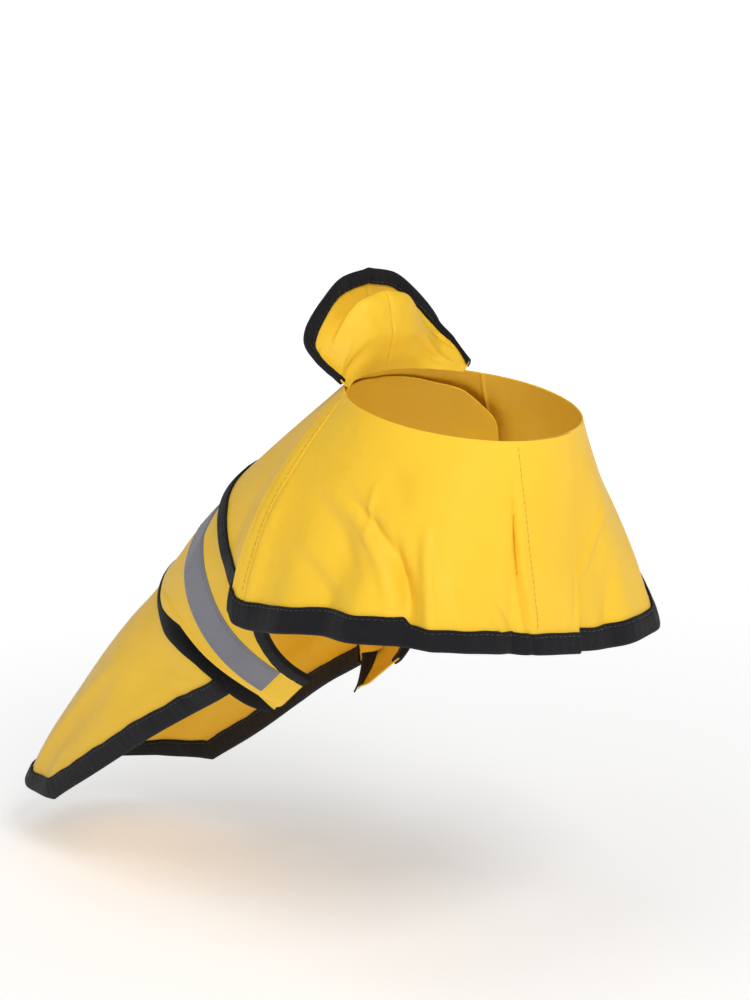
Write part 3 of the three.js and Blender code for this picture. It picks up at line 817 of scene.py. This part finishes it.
CAPE_CREASES = [
    # mm about the neck from the front (1.5 a degree), mm down, the same again, bow, width, depth
    (134, 42, 76, 102, 11, 4, -3.2),
    (141, 44, 90, 94, 10, 3.4, 1.8),
    (80, 50, 68, 108, 0, 3.2, 3.2),
    (98, 54, 79, 106, 3, 4, -2.6),
    (150, 30, 124, 36, 1, 2, 0.7),
    (118, 30, 112, 62, -2, 2.4, 1.0),
    (162, 46, 112, 84, 6, 6, -1.8),
    (160, 66, 128, 84, 3, 5, 0.9),
    (160, 72, 126, 97, 2, 5, -1.4),
    (184, 44, 185, 106, 0, 4.5, 1.7),
    (189, -20, 189, 104, 0, 1.2, -1.1),
    (197, 24, 197, 84, 0, 2.4, 0.9),
    (30, 24, 14, 112, -2.7, 2.2, -2.5),
    (24, 44, 12, 98, -2.5, 1.8, 0.7),
    (40, 82, 25, 102, 0, 1.8, -0.9),
    (42, 93, 33, 104, 0, 1.6, -0.7),
    (65, 74, 57, 98, 0, 3, 1.1),
    (112, 20, 96, 44, 2, 7, -1.0),
    (-68, 36, -21, 78, 0, 2.2, 1.2),
    (-20, 56, -14, 98, 1, 3.5, -0.8),
    (-58, 66, -44, 100, 2, 5, -1.4),
    (-96, 40, -84, 96, 3, 6, 1.3),
    (-128, 44, -112, 98, -4, 5, -1.9),
    (-152, 58, -136, 100, -3, 6, 1.2),
    (-184, 46, -185, 104, 0, 4.5, 1.5),
    (-189, -20, -189, 104, 0, 1.2, -1.1),
]

rear_station, rear_angle, rear_off = (reading(YOKE_REAR[0], values) for values in YOKE_REAR[1:])
hem_at = [reading(HEM[0], values) for values in HEM[1:]]
flare_at = reading([0, 60, 100, 135], [1.1, 1.05, 0.85, 0.75])


def neck_ring(degrees):
    """The neck's ellipse, higher at the back."""
    angle = np.radians(degrees)
    x = NECK_FRONT * np.cos(angle)
    return np.stack([x, -NECK_SIDE * np.sin(angle), -x * np.tan(np.radians(NECK_TILT))], -1)


def yoke(across, along):
    """The back between the shoulders at -1 and 1: over the form from the neck to its rear edge,
    drawn to the neck's ring at the top and lifting off the form toward the rear corners."""
    share, side = abs(across), np.where(across < 0, -1, 1)
    neck_angle, neck_station = YOKE_NECK_ANGLE * share, YOKE_NECK_STATION * share ** 2
    station = neck_station + along * (rear_station(share) - neck_station)
    angle = side * (neck_angle + along * (rear_angle(share) - neck_angle))
    lift = rear_off(share) * np.maximum(along, 0) ** 1.5
    to_ring = (neck_ring(180 - HALF_BACK * across)
               - on_form(neck_station, side * neck_angle, CAPE_OFF))
    return (on_form(station, angle, CAPE_OFF + lift)
            + to_ring * ((1 - along) ** 2)[..., None])


def hang(angle, along):
    """A front's plain fall from the neck to its hem, which swings out faster at the sides."""
    top, hem = neck_ring(angle), np.stack([read(angle) for read in hem_at], -1)
    swing = np.maximum(along, 0) ** flare_at(abs(angle))
    return top + (hem - top) * np.stack([swing, swing, along + 0 * angle], -1)


def front(angle, along):
    """A front: its fall, turned to meet the back at the shoulder, with its folds outward."""
    side = np.where(angle < 0, -1.0, 1.0)
    to_seam = yoke(side, along) - hang(side * SHOULDER, along)
    point = hang(angle, along) + to_seam * smooth(abs(angle), TURN_FROM, SHOULDER)[..., None]
    outward = np.stack([np.cos(np.radians(angle)), -np.sin(np.radians(angle)), 0 * angle], -1)
    depth = 0
    for centre, width, fold in FOLDS:
        depth = depth + fold * np.exp(-1.6 * ((angle - centre) / width) ** 2)
    depth = depth * smooth(along, 0.25, 0.95)
    across, down = angle * MM_ACROSS, along * MM_DOWN
    fine = creases(across, down, CAPE_CREASES)
    fine = fine + 0.6 * uneven(across, down, 46, 21) * smooth(along, 0.05, 0.4)
    fine = fine * (1 - smooth(abs(angle), CREASES_FADE, CREASES_END))
    return point + outward * (depth + fine)[..., None]


def cape(angle, along):
    """The whole cape by angle: right front, back from 135 to 225, then the left front, which
    slips inside the right one at the chest. The right front's free edge leans to one side,
    most at the neck."""
    angle, along = np.broadcast_arrays(np.asarray(angle, float), np.asarray(along, float))
    turned = np.where(angle <= SHOULDER, angle, angle - 360)
    lean = EDGE_LEAN * (1 - along) * (1 - smooth(angle, -OVERLAP, LEAN_END))
    point = front(np.clip(turned - lean, -SHOULDER, SHOULDER), along)
    inside = UNDERLAP_NECK + (UNDERLAP_HEM - UNDERLAP_NECK) * along
    point[..., 0] -= np.where(angle > 180, inside * smooth(turned, -45, -15), 0)
    middle = (angle > SHOULDER) & (angle < 360 - SHOULDER)
    over_back = yoke(np.clip((180 - angle) / HALF_BACK, -1, 1), along)
    return np.where(middle[..., None], over_back, point)


def in_from_last_row(surface, du, dv=0.01):
    """Places in from the edge v = 1 of a surface, with the outward normal there."""
    def place(u, distance):
        length = np.linalg.norm(surface(u, 1 + 0 * u) - surface(u, 0.9 + 0 * u), axis=-1) / 0.1
        v = 1 - distance / length
        normal = np.cross(surface(u + du, v) - surface(u - du, v),
                          surface(u, v + dv) - surface(u, v - dv))
        return surface(u, v), normal / np.linalg.norm(normal, axis=-1, keepdims=True)

    return place


SLIT = 0.03
for name, first, last, count in (("cape_front_right", -OVERLAP, SEAM - SLIT, 271),
                                 ("cape_yoke", SEAM + SLIT, 360 - SEAM - SLIT, 221),
                                 ("cape_front_left", 360 - SEAM + SLIT, 360 + OVERLAP, 271)):
    points = cape(*grid(first, last, count, 91))
    thin_sheet(name, points, cut_of(points))

# Yellow thread, with painted highlight on its ply crests and painted shade in the grooves.
yellow_thread = mix_thread("yellow_thread", (0.55, 0.26, 0.01), (0.75, 0.42, 0.03))
cape_at = in_from_last_row(cape, 0.6)


def seam_line(angle, along, name):
    """Stitches on the cape through the given angles and shares of the drop."""
    angle, along = np.broadcast_arrays(angle, along)
    line = cape(angle, along)
    normal = np.cross(cape(angle + 0.6, along) - cape(angle - 0.6, along),
                      cape(angle, along + 0.01) - cape(angle, along - 0.01))
    normal = normal / np.linalg.norm(normal, axis=-1, keepdims=True)
    return stitches(name, line + 0.9 * normal, normal, yellow_thread,
                    radius=0.17)


BESIDE_SEAM = 1.6
PLACKET_AT_NECK, PLACKET_LEAN = 20.5, 13.5
down = np.linspace(0.02, 0.9, 160)
sewn = {
    "right": [seam_line(SEAM + BESIDE_SEAM, down, "shoulder_seam_stitches_right"),
              seam_line(PLACKET_AT_NECK - PLACKET_LEAN * down, down, "placket_stitches_right")],
    "left": [seam_line(360 - SEAM - BESIDE_SEAM, down, "shoulder_seam_stitches_left")],
}

# Hem of the cape: one length of the ribbed tape right round it, broad at the sides, narrower
# across the chest and narrowest along the back.
HEM_BINDING = np.array([
    # angle, visible width
    (-11.5, 9), (52, 9), (56, 12), (132, 12), (140, 9), (180, 8), (220, 9), (228, 12),
    (371.5, 10),
]).T
HEM_GAP = 0.4
hem_steps = np.linspace(-OVERLAP, 360 + OVERLAP, 801)
cape_hem = folded_tape("cape_hem_binding", hem_steps, reading(*HEM_BINDING)(hem_steps), cape_at,
                       HEM_GAP)

# Hood: two curved halves joined by a centre seam, thrown back so that they stand behind the
# neck in one deep fold. A narrow black tape binds the rim.
HOOD_RIM = np.array([
    # across, x, y, z
    (0, -68, 0, 57),
    (0.25, -69, -15, 54),
    (0.5, -68.5, -30, 43.5),
    (0.72, -66, -41.5, 29),
    (0.88, -55.5, -43.8, 20),
    (1, -41, -41, 11),
]).T
HOOD_FOLD = np.array([
    # along, share of the height, mm forward
    (0, 0, 0), (0.14, 0.2, 7), (0.28, 0.46, 12.5), (0.4, 0.7, 12.5), (0.5, 0.83, 9.5),
    (0.58, 0.72, 5), (0.67, 0.6, 1), (0.76, 0.64, -3), (0.87, 0.8, -3.5), (1, 1, 0),
]).T
HOOD_INSET, HOOD_FULL = 2.2, 50
HOOD_ACROSS, HOOD_ALONG = 60, 95
RIM_MIDDLE, RIM_END = 6.5, 2.5
HOOD_CREASES = [
    # mm from the centre seam (60 to the end), mm along (95 to the rim), the same again, bow,
    # width, depth
    (14, 20, 46, 12, 3, 5, -1.6),
    (30, 34, 54, 22, 2, 4, 1.2),
    (40, 58, 56, 70, 2, 4, -1.4),
    (4, 30, 22, 50, 2, 6, 1.0),
    (0, -30, 0, 125, 0, 1.2, -0.8),
]
rim_at = [reading(HOOD_RIM[0], values) for values in HOOD_RIM[1:]]
rise_at, forward_at = (reading(HOOD_FOLD[0], values) for values in HOOD_FOLD[1:])


def hood(across, along):
    """The hood from the neck seam to the rim: straight up at its ends, and in one deep fold
    that leans forward over the middle."""
    across, along = np.broadcast_arrays(np.asarray(across, float), np.asarray(along, float))
    share, side = abs(across), np.where(across < 0, -1, 1)
    degrees = 180 - HALF_BACK * across
    angle = np.radians(degrees)
    inward = np.stack([-np.cos(angle), np.sin(angle), 0 * angle], -1)
    base = neck_ring(degrees) + HOOD_INSET * inward
    rim = np.stack([rim_at[0](share), side * rim_at[1](share), rim_at[2](share)], -1)
    size = np.linalg.norm(rim - base, axis=-1) / HOOD_FULL
    deep = 1 - smooth(share, 0.3, 0.85)
    folded = along + (rise_at(along) - along) * deep * smooth(size, 0.35, 0.85)
    down = along * HOOD_ALONG
    fine = creases(share * HOOD_ACROSS, down, HOOD_CREASES)
    fine = fine + 0.5 * uneven(across * HOOD_ACROSS, down, 40, 31)
    fine = fine * smooth(along, 0, 0.15) * smooth(size, 0.3, 0.6)
    return (base + (rim - base) * folded[..., None]
            + inward * (forward_at(along) * size * deep + fine)[..., None])


whole_hood = hood(*grid(-1, 1, 181, 121))
whole_normal = normals_of(whole_hood)
for word, half in (("right", slice(90, None)), ("left", slice(None, 91))):
    thin_sheet(f"hood_{word}", whole_hood[half], cut_of(whole_hood[half]),
                                  normal=whole_normal[half])
rim_steps = np.linspace(-1, 1, 241)
rim_width = RIM_MIDDLE + (RIM_END - RIM_MIDDLE) * smooth(abs(rim_steps), 0.6, 1)
hood_rim = folded_tape("hood_rim_binding", rim_steps, rim_width, in_from_last_row(hood, 0.005),
                       WIDE_GAP, stitched=1.4)
